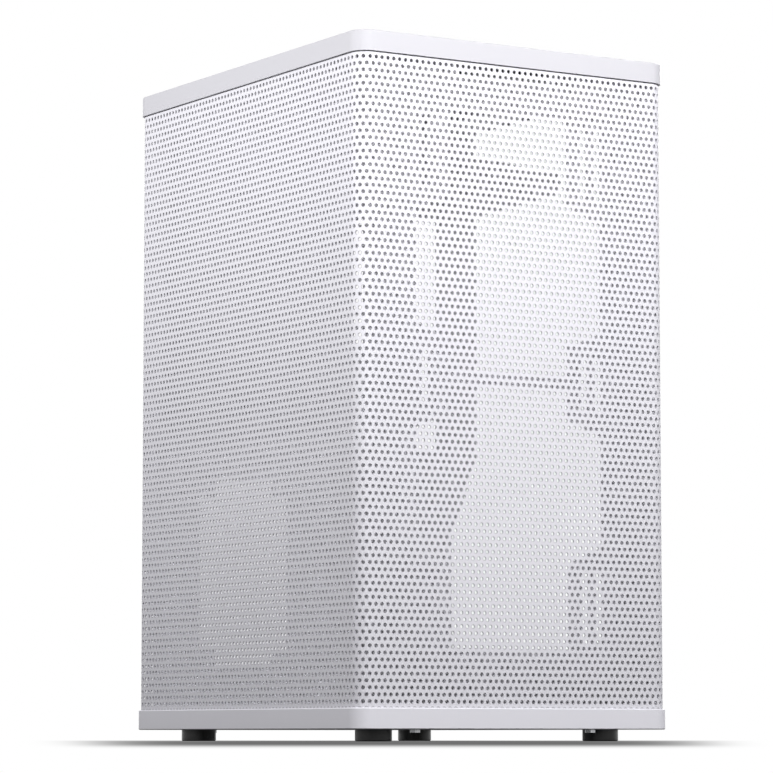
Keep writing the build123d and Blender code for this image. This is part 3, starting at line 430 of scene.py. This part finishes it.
def build_rim():
    """Stiffening flange along the shell's top edge, open at the ports."""
    middle = SHELL_W / 2 - SHELL_RADIUS
    vertices, faces = [], []
    for s0, s1 in ((S_LEFT, middle - RIM_NOTCH), (middle + RIM_NOTCH, S_RIGHT)):
        steps = np.linspace(s0, s1, RIM_STEPS)
        start = len(vertices)
        for inset in (SHELL_SHEET, SHELL_SHEET + RIM_WIDTH):
            x, y = on_shell(steps, inset)
            for z in (SHELL_Z1 - SHELL_SHEET, SHELL_Z1):
                vertices += [(a * MM, b * MM, z * MM) for a, b in zip(x, y)]
        ring = [start, start + RIM_STEPS, start + 3 * RIM_STEPS, start + 2 * RIM_STEPS]
        for k in range(RIM_STEPS - 1):
            for a, b in zip(ring, ring[1:] + ring[:1]):
                faces.append([a + k, b + k, b + k + 1, a + k + 1])
        faces.append(ring[::-1])
        faces.append([r + RIM_STEPS - 1 for r in ring])
    mesh = bpy.data.meshes.new("shell_rim")
    mesh.from_pydata(vertices, [], faces)
    mesh.validate()
    dress("shell_rim", mesh, "chassis", materials["white_steel"])


# Painted shade: the holes' walls and a thin ring just outside their edges are darkened in the paint's
# colour, for the shade in the holes and on their rounded rims.
WALL_SHADE = 0.8         # share of the paint's colour left on the holes' walls, as painted shade
EDGE_SHADE = 0.3         # and just outside their edges
EDGE_REACH = 0.3         # how far the painted shade round a hole reaches


def paint_shade_at_hole_edges(material):
    """Painted shade on the walls of the holes and just round their edges, from the sheet's own coordinates.
    """
    tree = material.node_tree

    def calc(*terms):
        return math_node(tree, *terms)

    uv = tree.nodes.new("ShaderNodeUVMap")
    uv.uv_map = "sheet"
    place = split_xyz(tree, uv.outputs["UV"])
    along, height = place["X"], place["Y"]
    row = calc("DIVIDE", calc("SUBTRACT", height, LOWEST_ROW), ROW_PITCH)
    nearest = calc("ROUND", row)
    rise = calc("MULTIPLY", calc("SUBTRACT", row, nearest), ROW_PITCH)
    shift = calc("MULTIPLY", calc("FLOORED_MODULO", nearest, 2.0), 0.5)
    column = calc("SUBTRACT", calc("DIVIDE", calc("SUBTRACT", along, ROW_PHASE), HOLE_PITCH), shift)
    run = calc("MULTIPLY", calc("SUBTRACT", column, calc("ROUND", column)), HOLE_PITCH)
    reach = calc("SQRT", calc("ADD", calc("MULTIPLY", run, run), calc("MULTIPLY", rise, rise)))
    edge = ramp(tree, reach, EDGE_SHADE, 1.0, HOLE_RADIUS, HOLE_RADIUS + EDGE_REACH, smooth=True)
    on_wall = calc("LESS_THAN", reach, HOLE_RADIUS)
    scale_color(material, calc("MULTIPLY_ADD", on_wall, WALL_SHADE - EDGE_SHADE, edge))


# Painted shade: thin dark lines for the shadow in the joint under the cover and on the shaded underside of
# the base tray's lower edge.
COVER_SHADOW_LINE = 0.55         # width of the painted shadow line on the shell just under the cover's edge
COVER_SHADOW_SHADE = 0.12        # share of the paint's colour left in it
BASE_SHADOW_LINE = 0.45   # the same for the painted shade line round the base tray's lower edge
BASE_SHADOW_SHADE = 0.3
LINE_FADE = 0.15


def paint_shade_band(material, low, high, shade):
    """Thin line of painted shade round a piece between two heights."""
    tree = material.node_tree
    middle, half = (low + high) / 2, (high - low) / 2
    away = math_node(tree, "ABSOLUTE", math_node(tree, "SUBTRACT", own_place(tree)["Z"], middle * MM))
    scale_color(material, ramp(tree, away, shade, 1.0, (half - LINE_FADE) * MM, (half + LINE_FADE) * MM))


def paint_joint_shadows():
    """Painted shadow lines on the shell under the cover, and painted shade on the base tray's lower edge."""
    cover_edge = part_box("top_cover")[0].z / MM
    base_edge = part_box("base_tray")[0].z / MM
    paint_shade_band(materials["perforated"], cover_edge - COVER_SHADOW_LINE, cover_edge + LINE_FADE, COVER_SHADOW_SHADE)
    paint_shade_band(materials["base_tray"], base_edge - LINE_FADE, base_edge + BASE_SHADOW_LINE, BASE_SHADOW_SHADE)


def perforated_shell():
    """The shell in four strips: two on the left side and two on the front, parted at the corner between."""
    paint_shade_at_hole_edges(materials["perforated"])
    first = math.ceil((S_LEFT + EDGE_MARGIN - ROW_PHASE) / HOLE_PITCH)
    final = math.floor((S_RIGHT - EDGE_MARGIN - ROW_PHASE - HOLE_PITCH / 2) / HOLE_PITCH)
    columns = list(range(first, final + 1))
    corner = next(k for k, c in enumerate(columns) if ROW_PHASE + HOLE_PITCH * c > -CORNER_RUN / 2)
    cuts = [0, corner // 2, corner, (corner + len(columns)) // 2, len(columns)]
    names = ("shell_side_rear", "shell_side_front", "shell_front_left", "shell_front_right")
    for name, start, end in zip(names, cuts, cuts[1:]):
        left_end = S_LEFT if start == 0 else None
        right_end = S_RIGHT if end == len(columns) else None
        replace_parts(build_strip(name, columns[start:end], left_end, right_end), "mesh_shell")
    build_rim()


# ---------------------------------------------------------------- stage, in metres
FLOOR_REACH = 30.0
FLOOR_LIGHT = 0.12              # what the floor gives back to the object
# The soft shadow is painted on the floor as a wedge. It lies along the level line of the photograph's view,
# and its two sides meet under the place that the photograph was taken from.
VIEW_X, VIEW_Y = 0.523, 0.852   # that line's direction, towards the rear right
NARROW_END = 2.166              # from the object back along the line to the point where the sides meet
LEAST_DISTANCE = 0.1            # from that point, to keep clear of dividing by 0
SHADOW_WIDTH = 0.0859           # half its width, as a share of the distance from that point
SHADOW_PLACE = 12.28            # divided by the distance, this is the place along the shadow:
SHADOW_MIDDLE = 7.544           # its middle
SHADOW_LENGTH = 3.663           # and from there to where it fades towards either end
SHADOW_END_EDGE = 2.83          # higher is a firmer edge
SHADOW_SIDE_EDGE = 9.6
SHADOW_DEPTH = 0.843            # share of the white that it takes away at its darkest
REAR_FADE = (2.2, 2.6)          # distances between which it fades out behind the object
CONTACT_REACH = 0.2
CONTACT_SAMPLES = 8
CONTACT_DARK_AT = 0.1           # share of open sky where the contact shadow is darkest
CONTACT_CLEAR_AT = 0.8          # and where it has gone
CONTACT_LEVEL = 0.12            # light left where it is darkest


def seen_ray(tree):
    """1 for a ray from the camera, in gloss or through glass; else 0."""
    path = tree.nodes.new("ShaderNodeLightPath").outputs
    seen = math_node(tree, "MAXIMUM", path["Is Camera Ray"], path["Is Glossy Ray"])
    return math_node(tree, "MAXIMUM", seen, path["Is Transmission Ray"])


def painted_long_shadow(tree):
    """Light left on the floor by the painted soft shadow, which falls to the front left of the object."""

    def calc(*terms):
        return math_node(tree, *terms)

    place = own_place(tree)
    x, y = place["X"], place["Y"]
    along = calc("ADD", calc("MULTIPLY", x, VIEW_X), calc("MULTIPLY", y, VIEW_Y))
    across = calc("SUBTRACT", calc("MULTIPLY", x, VIEW_Y), calc("MULTIPLY", y, VIEW_X))
    distance = calc("MAXIMUM", calc("ADD", along, NARROW_END), LEAST_DISTANCE)
    off_middle = calc("SUBTRACT", calc("DIVIDE", SHADOW_PLACE, distance), SHADOW_MIDDLE)
    end = calc("POWER", calc("ABSOLUTE", calc("DIVIDE", off_middle, SHADOW_LENGTH)), SHADOW_END_EDGE)
    turn = calc("DIVIDE", calc("DIVIDE", across, distance), SHADOW_WIDTH)
    side = calc("POWER", calc("ABSOLUTE", turn), SHADOW_SIDE_EDGE)
    inside = calc("EXPONENT", calc("MULTIPLY", calc("ADD", end, side), -1.0))
    depth = ramp(tree, distance, -SHADOW_DEPTH, 0.0, *REAR_FADE, smooth=True)
    return calc("MULTIPLY_ADD", inside, depth, 1.0)


def contact_shadow(tree):
    """Light left on the floor close under the object, from how much of the sky is open there."""
    open_sky = tree.nodes.new("ShaderNodeAmbientOcclusion")
    open_sky.samples = CONTACT_SAMPLES
    open_sky.inputs["Distance"].default_value = CONTACT_REACH
    sky = open_sky.outputs["AO"]
    return ramp(tree, sky, CONTACT_LEVEL, 1.0, CONTACT_DARK_AT, CONTACT_CLEAR_AT, smooth=True)


def add_stage():
    """Plain pale floor: white to the camera, with the painted soft shadow and the contact shadow from how
    much sky is open.
    """
    mesh = bpy.data.meshes.new("floor")
    corners = ((-1, -1), (1, -1), (1, 1), (-1, 1))
    mesh.from_pydata([(x * FLOOR_REACH, y * FLOOR_REACH, 0) for x, y in corners], [], [(0, 1, 2, 3)])
    floor = bpy.data.objects.new("floor", mesh)
    bpy.context.scene.collection.objects.link(floor)
    material = bpy.data.materials.new("floor")
    material.use_nodes = True
    tree = material.node_tree
    tree.nodes.remove(tree.nodes["Principled BSDF"])
    diffuse = tree.nodes.new("ShaderNodeBsdfDiffuse")
    diffuse.inputs["Color"].default_value = (FLOOR_LIGHT, FLOOR_LIGHT, FLOOR_LIGHT, 1.0)
    emission = tree.nodes.new("ShaderNodeEmission")
    level = math_node(tree, "MINIMUM", painted_long_shadow(tree), contact_shadow(tree))
    tree.links.new(level, emission.inputs["Strength"])
    mix = tree.nodes.new("ShaderNodeMixShader")
    tree.links.new(seen_ray(tree), mix.inputs["Fac"])
    tree.links.new(diffuse.outputs[0], mix.inputs[1])
    tree.links.new(emission.outputs[0], mix.inputs[2])
    tree.links.new(mix.outputs[0], tree.nodes["Material Output"].inputs["Surface"])
    mesh.materials.append(material)


WORLD_LIGHT = 0.10              # strength of the backdrop as a light


def add_world():
    """White backdrop to the camera, in gloss and through glass; much weaker as a light."""
    world = bpy.data.worlds.new("world")
    bpy.context.scene.world = world
    world.use_nodes = True
    tree = world.node_tree
    background = tree.nodes["Background"]
    background.inputs["Color"].default_value = (1, 1, 1, 1)
    tree.links.new(ramp(tree, seen_ray(tree), WORLD_LIGHT, 1.0), background.inputs["Strength"])


def add_area(name, place, target, size, power):
    """Rectangular lamp, in metres and watts, that the camera doesn't see."""
    data = bpy.data.lights.new(name, "AREA")
    data.shape = "RECTANGLE"
    data.size, data.size_y = size
    data.energy = power
    light = bpy.data.objects.new(name, data)
    bpy.context.scene.collection.objects.link(light)
    light.location = place
    light.rotation_euler = (Vector(target) - Vector(place)).to_track_quat("-Z", "Y").to_euler()
    light.visible_camera = False


MIDDLE = (0.0, 0.0, 0.22)       # near the middle of the object


def add_lights():
    add_area("front_key", place=(0.14, -0.72, 0.63), target=MIDDLE, size=(0.8, 0.35), power=4.7)
    add_area("front_left", place=(-0.42, -0.80, 0.65), target=MIDDLE, size=(0.5, 0.35), power=3.3)
    add_area("left_key", place=(-0.446, 0.08, 0.42), target=(0.0, 0.08, 0.42), size=(0.9, 0.3), power=1.98)
    add_area("right_rear", place=(1.1, 0.9, 0.9), target=MIDDLE, size=(0.6, 0.6), power=16.0)


bpy.context.scene.view_settings.view_transform = "Standard"
add_camera()
finish_cad_nodes()
perforated_shell()
paint_joint_shadows()
add_stage()
add_world()
add_lights()
